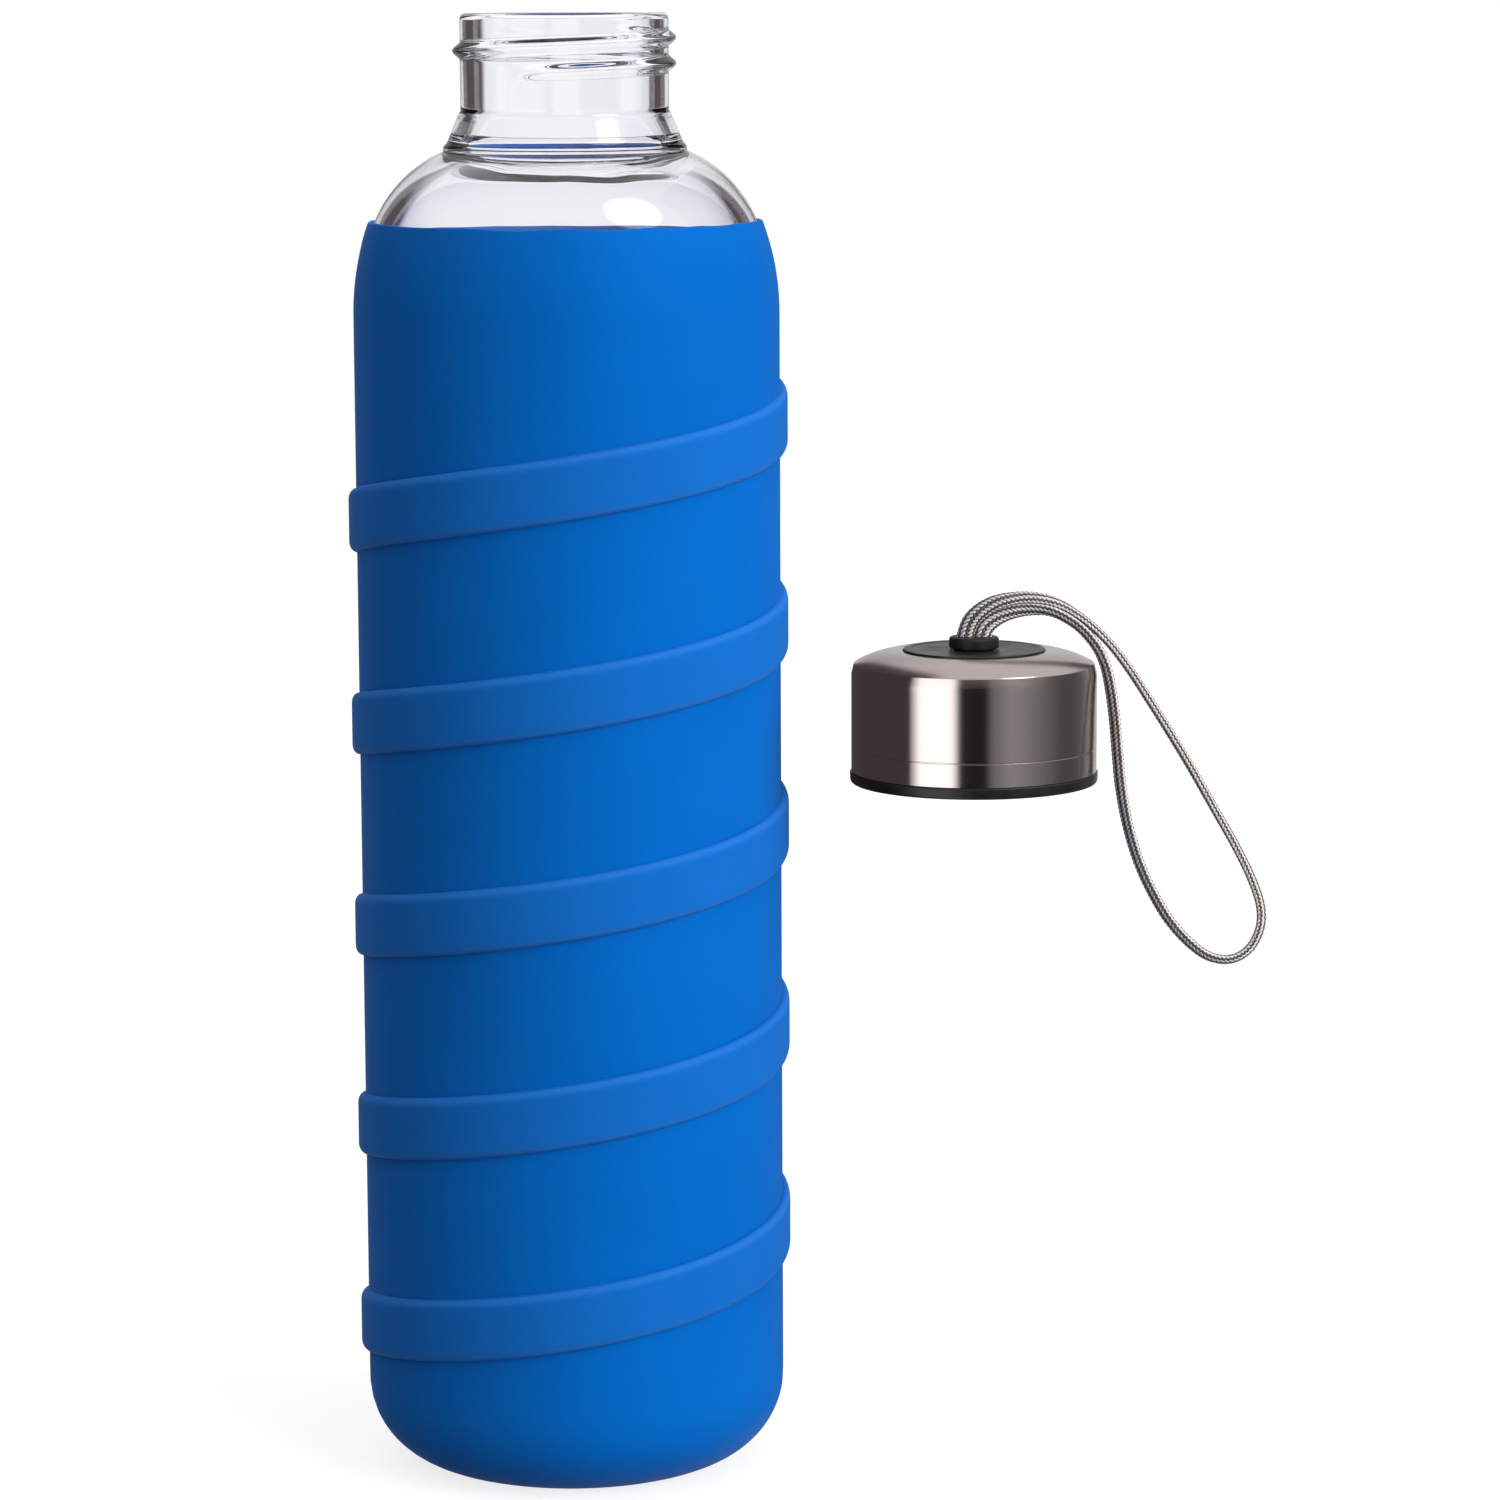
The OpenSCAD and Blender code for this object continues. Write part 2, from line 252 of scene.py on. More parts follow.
def add_floor():
    """A round white floor. Its own light shows only to the eye and through glass, so that it stays
    white without lighting the object."""
    steps = 96
    mesh = bpy.data.meshes.new("floor")
    turns = [2 * math.pi * k / steps for k in range(steps)]
    ring = [(FLOOR_R * math.cos(a), FLOOR_R * math.sin(a), 0) for a in turns]
    mesh.from_pydata(ring, [], [tuple(range(steps))])
    material = new_material("floor_paint")
    nodes, links = material.node_tree.nodes, material.node_tree.links
    shader = nodes["Principled BSDF"]
    shader.inputs["Base Color"].default_value = (0.3, 0.3, 0.3, 1)
    shader.inputs["Roughness"].default_value = 0.9
    shader.inputs["Specular IOR Level"].default_value = 0
    shader.inputs["Emission Color"].default_value = (1, 1, 1, 1)
    path = nodes.new("ShaderNodeLightPath")
    rays = path.outputs["Is Camera Ray"], path.outputs["Is Transmission Ray"]
    seen = math_node(nodes, links, "MAXIMUM", *rays)
    links.new(math_node(nodes, links, "MULTIPLY", seen, FLOOR_GLOW), shader.inputs["Emission Strength"])
    mesh.materials.append(material)
    floor = bpy.data.objects.new("floor", mesh)
    floor.visible_glossy = False
    scene.collection.objects.link(floor)


def add_cap_card():
    """A dim card between the bottle and the cap, which only reflections see: the steel's left side
    mirrors it."""
    mesh = bpy.data.meshes.new("cap_card")
    corners = ((CARD_FRONT, 0), (CARD_BACK, 0), (CARD_BACK, CARD_TOP), (CARD_FRONT, CARD_TOP))
    mesh.from_pydata([(CARD_X, y, z) for y, z in corners], [], [(0, 1, 2, 3)])
    material = new_material("card_paper")
    shader = material.node_tree.nodes["Principled BSDF"]
    shader.inputs["Base Color"].default_value = (0, 0, 0, 1)
    shader.inputs["Specular IOR Level"].default_value = 0
    shader.inputs["Emission Color"].default_value = CARD_GLOW
    shader.inputs["Emission Strength"].default_value = 1
    mesh.materials.append(material)
    card = bpy.data.objects.new("cap_card", mesh)
    card.visible_camera = False
    card.visible_diffuse = False
    card.visible_transmission = False
    card.visible_volume_scatter = False
    card.visible_shadow = False
    scene.collection.objects.link(card)


def ring_ramp(nodes, links, turn, stops):
    """A ramp that goes once round the horizon. stops are (degrees, value), and the degrees count from
    the camera's side, positive to the right."""
    ramp = nodes.new("ShaderNodeValToRGB")
    fill_ramp(ramp, [(degrees / 360 + 0.5, value) for degrees, value in stops])
    links.new(turn, ramp.inputs["Fac"])
    return ramp.outputs["Color"]


def add_world():
    """White to the eye. Matte surfaces get dim walls and a bright ceiling. Shiny ones reflect a
    softbox to the left of the camera, a black card behind the camera, grey walls, a ceiling and a
    round lamp. Glass shows white screens on four sides, with dark gaps between them."""
    world = bpy.data.worlds.new("studio")
    world.use_nodes = True
    scene.world = world
    tree = world.node_tree
    nodes, links = tree.nodes, tree.links
    nodes.clear()
    direction = nodes.new("ShaderNodeTexCoord")
    split = nodes.new("ShaderNodeSeparateXYZ")
    links.new(direction.outputs["Generated"], split.inputs[0])
    forward = math_node(nodes, links, "MULTIPLY", split.outputs["Y"], -1)
    azimuth = math_node(nodes, links, "ARCTAN2", split.outputs["X"], forward)
    turn = math_node(nodes, links, "MULTIPLY_ADD", azimuth, 1 / (2 * math.pi), 0.5)
    reflected = ring_ramp(nodes, links, turn, [
        (-180, 0.3), (-158, 0.16), (-141, 0.03), (-95, 0.028), (-76, 0.05), (-64, 0.18),
        (-54, 1), (-24, 1), (-19, 0.55), (-16, 0.006), (9, 0.008), (14, 0.1), (33, 0.19),
        (64, 0.11), (88, 0.05), (102, 0.05), (118, 0.075), (155, 0.28), (180, 0.33),
    ])
    screens = []
    for middle in (-180, -90, 0, 90, 180):
        screens += [
            (middle - SCREEN_EDGE, SCREEN_GAP), (middle - SCREEN_HALF, 1.0),
            (middle + SCREEN_HALF, 1.0), (middle + SCREEN_EDGE, SCREEN_GAP),
        ]
    within_turn = screens[2:-2]
    refracted = ring_ramp(nodes, links, turn, within_turn)
    bright = nodes.new("ShaderNodeMixRGB")
    bright.blend_type = "MULTIPLY"
    bright.inputs["Fac"].default_value = 1
    bright.inputs["Color2"].default_value = WALL_GAIN
    links.new(reflected, bright.inputs["Color1"])
    height = nodes.new("ShaderNodeMapRange")
    height.inputs["From Min"].default_value = CEILING_FROM
    height.inputs["From Max"].default_value = CEILING_FULL
    links.new(split.outputs["Z"], height.inputs["Value"])
    lamp = nodes.new("ShaderNodeVectorMath")
    lamp.operation = "DOT_PRODUCT"
    lamp.inputs[1].default_value = Vector(LAMP_DIRECTION).normalized()
    links.new(direction.outputs["Generated"], lamp.inputs[0])
    disc = nodes.new("ShaderNodeMapRange")
    disc.inputs["From Min"].default_value = math.cos(math.radians(LAMP_EDGE))
    disc.inputs["From Max"].default_value = math.cos(math.radians(LAMP_FULL))
    links.new(lamp.outputs["Value"], disc.inputs["Value"])
    path = nodes.new("ShaderNodeLightPath")
    ceiling = height.outputs["Result"]
    matte = add_mix(nodes, links, ceiling, (0.105, 0.105, 0.11, 1), (0.85, 0.85, 0.85, 1))
    shiny = add_mix(nodes, links, ceiling, bright.outputs["Color"], (0.72, 0.7, 0.7, 1))
    shiny = add_mix(nodes, links, disc.outputs["Result"], shiny, (5, 5, 5, 1))
    clear = add_mix(nodes, links, ceiling, refracted, (0.95, 0.95, 0.97, 1))
    colour = add_mix(nodes, links, path.outputs["Is Diffuse Ray"], (1, 1, 1, 1), matte)
    colour = add_mix(nodes, links, path.outputs["Is Glossy Ray"], colour, shiny)
    colour = add_mix(nodes, links, path.outputs["Is Transmission Ray"], colour, clear)
    background = nodes.new("ShaderNodeBackground")
    links.new(colour, background.inputs["Color"])
    output = nodes.new("ShaderNodeOutputWorld")
    links.new(background.outputs[0], output.inputs["Surface"])


# ---------------------------------------------------------------- node helpers

def new_material(name):
    material = bpy.data.materials.new(name)
    material.use_nodes = True
    return material


def math_node(nodes, links, operation, *values):
    node = nodes.new("ShaderNodeMath")
    node.operation = operation
    for socket, value in zip(node.inputs, values):
        if isinstance(value, (int, float)):
            socket.default_value = value
        else:
            links.new(value, socket)
    return node.outputs[0]


def add_mix(nodes, links, factor, first, second):
    """Mixes from the first colour to the second; either may be a socket."""
    node = nodes.new("ShaderNodeMixRGB")
    links.new(factor, node.inputs["Fac"])
    for socket, value in ((node.inputs["Color1"], first), (node.inputs["Color2"], second)):
        if isinstance(value, tuple):
            socket.default_value = value
        else:
            links.new(value, socket)
    return node.outputs["Color"]


def fill_ramp(node, stops):
    """stops are (place, grey) or (place, (r, g, b)) pairs in order."""
    ramp = node.color_ramp
    while len(ramp.elements) < len(stops):
        ramp.elements.new(0.5)
    for element, (place, value) in zip(ramp.elements, stops):
        element.position = place
        element.color = (*value, 1) if isinstance(value, tuple) else (value, value, value, 1)


def axis_distance(nodes, links, place):
    """The distance from the piece's own Z axis, in metres."""
    split = nodes.new("ShaderNodeSeparateXYZ")
    links.new(place, split.inputs[0])
    across = math_node(nodes, links, "MULTIPLY", split.outputs["X"], split.outputs["X"])
    squared = math_node(nodes, links, "MULTIPLY_ADD", split.outputs["Y"], split.outputs["Y"], across)
    return math_node(nodes, links, "SQRT", squared)


def add_noise(nodes, links, vector, scale, detail, roughness=0.5):
    node = nodes.new("ShaderNodeTexNoise")
    node.inputs["Scale"].default_value = scale
    node.inputs["Detail"].default_value = detail
    node.inputs["Roughness"].default_value = roughness
    links.new(vector, node.inputs["Vector"])
    return node


def add_bump(nodes, links, shader, height, distance, strength, before=None):
    """Adds relief to a shader; before is the relief that it comes on top of."""
    node = nodes.new("ShaderNodeBump")
    node.inputs["Strength"].default_value = strength
    node.inputs["Distance"].default_value = distance
    links.new(height, node.inputs["Height"])
    if before is not None:
        links.new(before, node.inputs["Normal"])
    links.new(node.outputs["Normal"], shader.inputs["Normal"])
    return node.outputs["Normal"]


def varied(nodes, links, factor, low, high, socket):
    """Feeds a ramp from one value to another, driven by a texture, into a shader socket."""
    ramp = nodes.new("ShaderNodeValToRGB")
    fill_ramp(ramp, [(0.3, low), (0.7, high)])
    links.new(factor, ramp.inputs["Fac"])
    links.new(ramp.outputs["Color"], socket)


def start_material(name, roughness, **sockets):
    """A material with its shader's sockets set, and the object's own coordinates for its textures."""
    material = new_material(name)
    nodes, links = material.node_tree.nodes, material.node_tree.links
    shader = nodes["Principled BSDF"]
    shader.inputs["Roughness"].default_value = roughness
    for socket, value in sockets.items():
        shader.inputs[socket.replace("_", " ")].default_value = value
    place = nodes.new("ShaderNodeTexCoord").outputs["Object"]
    return material, nodes, links, shader, place


# ---------------------------------------------------------------- materials

def glass_material():
    """Clear soda-lime glass with a faint ripple and a faint tint in its thickness."""
    material, nodes, links, shader, place = start_material(
        "clear_glass", 0.0, IOR=1.5, Transmission_Weight=1,
    )
    shader.inputs["Base Color"].default_value = (0.985, 0.985, 1, 1)
    ripple = add_noise(nodes, links, place, 90, detail=1)
    add_bump(nodes, links, shader, ripple.outputs["Fac"], 0.00006, 0.5)
    tint = nodes.new("ShaderNodeVolumeAbsorption")
    tint.inputs["Color"].default_value = (0.82, 0.82, 0.93, 1)
    tint.inputs["Density"].default_value = 30
    output = nodes["Material Output"]
    links.new(tint.outputs[0], output.inputs["Volume"])
    return material


def silicone_material():
    """Matte blue silicone: a fine moulded texture, faint clouds in its colour, and a painted sheen: the
    raised band is paler, palest along its rounded edges, as if it caught more light."""
    material, nodes, links, shader, place = start_material(
        "blue_silicone", 0.55, Subsurface_Weight=0.05, Subsurface_Scale=0.002, Specular_IOR_Level=0.07,
        Sheen_Weight=0.06, Sheen_Roughness=0.4,
    )
    shader.inputs["Subsurface Radius"].default_value = (0.3, 0.6, 1)
    shader.inputs["Sheen Tint"].default_value = (0.6, 0.75, 1, 1)
    clouds = add_noise(nodes, links, place, 35, detail=4)
    ramp = nodes.new("ShaderNodeValToRGB")
    fill_ramp(ramp, [(0.3, (0, 0.119, 0.475)), (0.7, (0, 0.13, 0.52))])
    links.new(clouds.outputs["Fac"], ramp.inputs["Fac"])
    # Painted sheen: a paler colour on the raised band, palest along its rounded edges, stands in for the
    # light that the band catches
    rise = nodes.new("ShaderNodeMapRange")
    sheen_from = SLEEVE_R + 0.25
    rise.inputs["From Min"].default_value = sheen_from * MM
    rise.inputs["From Max"].default_value = (SLEEVE_R + BAND_DEPTH) * MM
    links.new(axis_distance(nodes, links, place), rise.inputs["Value"])
    band_sheen = nodes.new("ShaderNodeValToRGB")
    fill_ramp(band_sheen, [(0, 0), (0.55, 0.8), (0.8, 0.85), (1, 0.25)])
    links.new(rise.outputs["Result"], band_sheen.inputs["Fac"])
    sheened_colour = add_mix(nodes, links, band_sheen.outputs["Color"], ramp.outputs["Color"], (0.02, 0.165, 0.57, 1))
    links.new(sheened_colour, shader.inputs["Base Color"])
    smears = add_noise(nodes, links, place, 120, detail=5, roughness=0.6)
    varied(nodes, links, smears.outputs["Fac"], 0.5, 0.6, shader.inputs["Roughness"])
    grain = add_noise(nodes, links, place, 2600, detail=2)
    skin = add_bump(nodes, links, shader, grain.outputs["Fac"], 0.00002, 0.6)
    waves = add_noise(nodes, links, place, 60, detail=1)
    add_bump(nodes, links, shader, waves.outputs["Fac"], 0.0002, 0.25, before=skin)
    return material


def steel_material():
    """Stainless steel with a turned finish: fine rings round the cap's axis and a blur across them."""
    material, nodes, links, shader, place = start_material(
        "turned_steel", 0.2, Metallic=1, Anisotropic=0.85, Anisotropic_Rotation=0.25,
    )
    shader.inputs["Base Color"].default_value = (0.64, 0.565, 0.55, 1)
    tangent = nodes.new("ShaderNodeTangent")
    tangent.direction_type = "RADIAL"
    tangent.axis = "Z"
    links.new(tangent.outputs[0], shader.inputs["Tangent"])
    split = nodes.new("ShaderNodeSeparateXYZ")
    links.new(place, split.inputs[0])
    radius = axis_distance(nodes, links, place)
    spread = nodes.new("ShaderNodeCombineXYZ")
    links.new(math_node(nodes, links, "MULTIPLY", radius, 60), spread.inputs["X"])
    links.new(math_node(nodes, links, "MULTIPLY", split.outputs["Z"], 60), spread.inputs["Y"])
    angle = math_node(nodes, links, "ARCTAN2", split.outputs["Y"], split.outputs["X"])
    links.new(math_node(nodes, links, "MULTIPLY", angle, 0.012), spread.inputs["Z"])
    rings = add_noise(nodes, links, spread.outputs[0], 260, detail=4, roughness=0.7)
    add_bump(nodes, links, shader, rings.outputs["Fac"], 0.00001, 0.35)
    varied(nodes, links, rings.outputs["Fac"], 0.14, 0.2, shader.inputs["Roughness"])
    return material


def black_material(name, roughness, scale):
    """Moulded black plastic or rubber with a fine satin texture."""
    material, nodes, links, shader, place = start_material(name, roughness, Specular_IOR_Level=0.4)
    clouds = add_noise(nodes, links, place, 300, detail=3)
    tones = (0.008, 0.008, 0.009), (0.016, 0.015, 0.016)
    varied(nodes, links, clouds.outputs["Fac"], *tones, shader.inputs["Base Color"])
    gloss = roughness - 0.06, roughness + 0.08
    varied(nodes, links, clouds.outputs["Fac"], *gloss, shader.inputs["Roughness"])
    grain = add_noise(nodes, links, place, scale, detail=2)
    add_bump(nodes, links, shader, grain.outputs["Fac"], 0.00003, 0.5)
    return material


def gasket_material():
    """Milky white silicone rubber."""
    material, nodes, links, shader, place = start_material(
        "gasket_silicone", 0.5, Subsurface_Weight=0.3, Subsurface_Scale=0.001,
    )
    shader.inputs["Subsurface Radius"].default_value = (1, 1, 1)
    clouds = add_noise(nodes, links, place, 200, detail=2)
    tones = (0.7, 0.7, 0.68), (0.8, 0.8, 0.78)
    varied(nodes, links, clouds.outputs["Fac"], *tones, shader.inputs["Base Color"])
    add_bump(nodes, links, shader, clouds.outputs["Fac"], 0.00005, 0.4)
    return material


def crimp_material():
    """Plain steel with the marks of the crimping tool."""
    material, nodes, links, shader, place = start_material("crimp_steel", 0.35, Metallic=1)
    marks = add_noise(nodes, links, place, 800, detail=3)
    tones = (0.3, 0.3, 0.3), (0.5, 0.5, 0.5)
    varied(nodes, links, marks.outputs["Fac"], *tones, shader.inputs["Base Color"])
    add_bump(nodes, links, shader, marks.outputs["Fac"], 0.00003, 0.4)
    return material


def yarn_material(name, dark, light, roughness, sheen):
    """A yarn of the braid: fibres that vary a little in colour along and across it."""
    material, nodes, links, shader, place = start_material(
        name, roughness, Sheen_Weight=sheen, Sheen_Roughness=0.4, Specular_IOR_Level=0.5,
    )
    fibres = add_noise(nodes, links, place, 2200, detail=4, roughness=0.7)
    varied(nodes, links, fibres.outputs["Fac"], dark, light, shader.inputs["Base Color"])
    add_bump(nodes, links, shader, fibres.outputs["Fac"], 0.00006, 0.6)
    return material


# ---------------------------------------------------------------- mesh helpers

def arc(x, y, r, start, end, steps):
    """Points on a round stretch of an outline."""
    angles = [math.radians(start + (end - start) * i / steps) for i in range(steps + 1)]
    return [(x + r * math.cos(a), y + r * math.sin(a)) for a in angles]


def corner(before, here, after, radius, steps=5):
    """Points round a corner of an outline."""
    tip = Vector(here[:2])
    back = (Vector(before[:2]) - tip).normalized()
    ahead = (Vector(after[:2]) - tip).normalized()
    half = back.angle(ahead) / 2
    reach = radius / math.tan(half)
    centre = tip + (back + ahead).normalized() * radius / math.sin(half)
    first, last = tip + back * reach - centre, tip + ahead * reach - centre
    turn = first.angle_signed(last)
    return [tuple(centre + Matrix.Rotation(-turn * k / steps, 2) @ first) for k in range(steps + 1)]


def rounded(corners):
    """A closed outline with its corners rounded: each corner is (r, z) or (r, z, radius)."""
    points = []
    for i, here in enumerate(corners):
        if len(here) < 3:
            points.append(here)
        else:
            points += corner(corners[i - 1], here, corners[(i + 1) % len(corners)], here[2])
    return points


def filled(points, gap):
    """The same outline with more points on its long stretches."""
    result = points[:1]
    for start, end in zip(points, points[1:]):
        steps = max(1, math.ceil(math.dist(start, end) / gap))
        result += between(start, end, steps)
    return result


def between(start, end, steps):
    """Points on a straight stretch, without its first one."""
    return [
        (start[0] + (end[0] - start[0]) * i / steps, start[1] + (end[1] - start[1]) * i / steps)
        for i in range(1, steps + 1)
    ]


def lathe(outline, segments=SEGMENTS, shape=None):
    """Turns an outline about the Z axis. shape(r, z, degrees) may give another r and z for a point."""
    verts, rings = [], []
    for r, z in outline:
        if r < ON_AXIS:
            rings.append([len(verts)])
            verts.append((0, 0, z * MM))
            continue
        ring = []
        for k in range(segments):
            degrees = 360 * k / segments
            rr, zz = shape(r, z, degrees) if shape else (r, z)
            a = math.radians(degrees)
            ring.append(len(verts))
            verts.append((rr * math.cos(a) * MM, rr * math.sin(a) * MM, zz * MM))
        rings.append(ring)
    closed = len(rings[0]) > 1 and len(rings[-1]) > 1
    pairs = list(zip(rings, rings[1:])) + ([(rings[-1], rings[0])] if closed else [])
    faces = []
    for low, high in pairs:
        for k in range(segments):
            m = (k + 1) % segments
            if len(low) == 1:
                faces.append((low[0], high[m], high[k]))
            elif len(high) == 1:
                faces.append((low[k], low[m], high[0]))
            else:
                faces.append((low[k], low[m], high[m], high[k]))
    return verts, faces


def add_piece(name, verts, faces, material, place=(0, 0, 0), sharp=40):
    """A mesh object with smooth shading, except along edges sharper than a number of degrees."""
    mesh = bpy.data.meshes.new(name)
    mesh.from_pydata(verts, [], faces)
    work = bmesh.new()
    work.from_mesh(mesh)
    bmesh.ops.remove_doubles(work, verts=work.verts, dist=1e-7)
    bmesh.ops.recalc_face_normals(work, faces=work.faces)
    work.to_mesh(mesh)
    work.free()
    mesh.shade_smooth()
    mesh.set_sharp_from_angle(angle=math.radians(sharp))
    mesh.materials.append(material)
    piece = bpy.data.objects.new(name, mesh)
    piece.location = place
    scene.collection.objects.link(piece)
    return piece


def join_frame(piece, body, slot, *nodes):
    """Puts a piece on its body, in the place of its CAD nodes."""
    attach(piece, body)
    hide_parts(*nodes)


def cut(piece, cutter):
    """Takes the cutter's shape out of the piece."""
    modifier = piece.modifiers.new("cut", "BOOLEAN")
    modifier.object = cutter
    modifier.solver = "EXACT"
    modifier.operation = "DIFFERENCE"
    bpy.context.view_layer.update()
    mesh = bpy.data.meshes.new_from_object(piece.evaluated_get(bpy.context.evaluated_depsgraph_get()))
    work = bmesh.new()
    work.from_mesh(mesh)
    bmesh.ops.remove_doubles(work, verts=work.verts, dist=2e-6)
    bmesh.ops.dissolve_degenerate(work, edges=work.edges, dist=2e-6)
    bmesh.ops.triangulate(work, faces=[face for face in work.faces if len(face.verts) > 4])
    work.to_mesh(mesh)
    work.free()
    piece.modifiers.clear()
    piece.data = mesh
    bpy.data.objects.remove(cutter)


def ease(x):
    """Goes smoothly from 0 to 1 as x does."""
    x = max(0, min(1, x))
    return x * x * (3 - 2 * x)


def on_helix(degrees, z, start_z, pitch, start):
    """How far above the nearest turn of a helix a point is, and the angle along the helix there."""
    turn = round(((z - start_z) / pitch * 360 - (degrees - start)) / 360)
    along = degrees + 360 * turn
    return z - start_z - pitch * (along - start) / 360, along


def thread_height(degrees, z, start_z, start, end, half, depth):
    """How far a thread stands out at a point. half is half its width, and its ends fade out."""
    away, along = on_helix(degrees, z, start_z, THREAD_PITCH, start)
    if not start <= along <= end or abs(away) >= half:
        return 0
    fade = ease((along - start) / THREAD_FADE) * ease((end - along) / THREAD_FADE)
    return depth * fade * (0.5 + 0.5 * math.cos(math.pi * away / half)) ** THREAD_CREST


def wobble(degrees, z, scale, size):
    """Smooth unevenness of up to about size round and up a surface, the same on every run."""
    a = math.radians(degrees)
    return size * noise.noise(Vector((scale * math.cos(a), scale * math.sin(a), z * 0.05 * scale)))


# ---------------------------------------------------------------- the bottle

def make_glass(material):
    """The bottle. Bounced light and shadows ignore it, so that the sleeve's inside is lit."""
    foot_x = BODY_R - GLASS_FOOT_R
    inner_foot_r = GLASS_FOOT_R - GLASS_WALL
    floor_z = GLASS_Z + GLASS_FLOOR
    inner_shoulder_r = SHOULDER_R - GLASS_WALL
    crown_a = math.degrees(math.acos((CROWN[0] - SHOULDER_X) / inner_shoulder_r))
    bead_low_r = COLLAR_X + COLLAR_BEAD * math.cos(math.radians(BEAD_FROM))
    shoulder_a = math.degrees(math.acos((bead_low_r + 0.1 - SHOULDER_X) / SHOULDER_R))
    neck_low, neck_high = (NECK_R, RING_Z + RING_STEP), (NECK_R, RIM_Z - LIP_R)
    outside = [(r, GLASS_Z + rise) for r, rise in PUNT]
    outside += arc(foot_x, GLASS_Z + GLASS_FOOT_R, GLASS_FOOT_R, -90, 0, 16)
    outside += between(outside[-1], (BODY_R, SHOULDER_Z), 40)
    outside += arc(SHOULDER_X, SHOULDER_Z, SHOULDER_R, 0, shoulder_a, 24)[1:]
    outside += arc(COLLAR_X, COLLAR_Z, COLLAR_BEAD, BEAD_FROM, BEAD_TO, 8)
    outside += between(outside[-1], (RING_R, RING_Z - 0.2), 6)
    outside += [(RING_R - 0.06, RING_Z), neck_low]
    outside += between(neck_low, (NECK_R, THREAD_Z - THREAD_ROOM), 6)
    outside += between(outside[-1], neck_high, 72)
    outside += arc(NECK_R - LIP_R, RIM_Z - LIP_R, LIP_R, 0, 90, 8)[1:]
    inside = [(0, floor_z)]
    inside += arc(foot_x, floor_z + inner_foot_r, inner_foot_r, -90, 0, 12)
    inside += between(inside[-1], (BODY_R - GLASS_WALL, SHOULDER_Z - CROWN_DROP), 40)
    inside += arc(SHOULDER_X, SHOULDER_Z - CROWN_DROP, inner_shoulder_r, 0, crown_a - CROWN_ROOM, 24)[1:]
    lip_low = (BORE_R, RIM_Z - LIP_R)
    neck = [inside[-1]] + corner(inside[-1], CROWN, KINK, CROWN[2])
    neck += corner(CROWN, KINK, THROAT, KINK[2])
    neck += corner(KINK, THROAT, lip_low, THROAT[2], 8) + [lip_low]
    inside += filled(neck, 0.4)[1:]
    inside += arc(BORE_R + LIP_R, RIM_Z - LIP_R, LIP_R, 180, 90, 8)[1:]
    outer_count = len(outside)
    outline = outside + inside[::-1]
    bore_side = set(outline[outer_count:])

    def shape(r, z, degrees):
        if (r, z) in bore_side:
            near = math.exp(-((z - KINK[1] + WAVE_BELOW_KINK) / WAVE_REACH) ** 2)
            out = wobble(degrees, z, 1.6, WAVE_OUT + WAVE_OUT_NEAR * near)
            up = wobble(degrees, r, 2.6, WAVE_UP_NEAR * near)
            return r + out, z + up
        if r > NECK_R - 0.01 and RING_Z + 1 < z < RIM_Z - LIP_R:
            r += thread_height(degrees, z, THREAD_Z, THREAD_START, THREAD_END, THREAD_HALF, THREAD_DEPTH)
        return r, z

    verts, faces = lathe(outline, shape=shape)
    piece = add_piece("bottle_glass", verts, faces, material, sharp=60)
    piece.visible_diffuse = False
    piece.visible_shadow = False
    return piece


def band_rise(degrees, z):
    """How far the spiral band lifts the sleeve's surface at a point."""
    away, along = on_helix(degrees, z, BAND_Z, BAND_PITCH, BAND_START)
    left = BAND_END - along
    if along < BAND_START or left < 0 or abs(away) > BAND_HALF:
        return 0
    edge = max(0, (abs(away) - (BAND_HALF - BAND_EDGE)) / BAND_EDGE)
    section = BAND_DEPTH * max(0, 1 - edge ** BAND_ROUND) ** (1 / BAND_ROUND)
    return section * ease((along - BAND_START) / BAND_FADE) * ease(left / BAND_FADE)


def band_rows():
    """Rows of the sleeve's wall over one turn of the spiral, as heights above the band's middle. They
    are close together at the band's edges."""
    flat = BAND_HALF - BAND_EDGE
    rows = [-flat + 2 * flat * i / 4 for i in range(1, 4)]
    edge = [flat + BAND_EDGE * math.sin(math.pi * i / 16) ** (2 / BAND_ROUND) for i in range(9)]
    edge += [BAND_HALF + 0.02, BAND_HALF + 0.6]
    rows += edge + [BAND_PITCH - row for row in edge]
    gap = BAND_PITCH - 2 * edge[-1]
    rows += [edge[-1] + gap * i / 9 for i in range(1, 9)]
    return sorted(rows)


def make_spiral_wall(low, high):
    """The sleeve's straight wall from height low to height high, in rows that climb with the band."""
    rows = band_rows()
    per_turn = len(rows)
    turns = range(-2, BAND_TURNS + 2)
    levels = [BAND_Z + BAND_PITCH * t + row for t in turns for row in rows]
    verts = []
    for k in range(SEGMENTS):
        degrees = 360 * k / SEGMENTS
        climb = BAND_PITCH * (degrees - BAND_START) / 360
        a = math.radians(degrees)
        for level in levels:
            z = min(high, max(low, level + climb))
            r = SLEEVE_R + band_rise(degrees, z)
            foot = max(0, FOOT_R - z)
            r -= FOOT_R - math.sqrt(FOOT_R ** 2 - foot ** 2)
            verts.append((r * math.cos(a) * MM, r * math.sin(a) * MM, z * MM))
    faces = []
    count = len(levels)
    for k in range(SEGMENTS):
        last = k == SEGMENTS - 1
        shift = per_turn if last else 0
        m = 0 if last else (k + 1) * count
        for i in range(count - 1):
            if i + shift + 1 < count:
                faces.append((k * count + i, m + i + shift, m + i + shift + 1, k * count + i + 1))
    return verts, faces


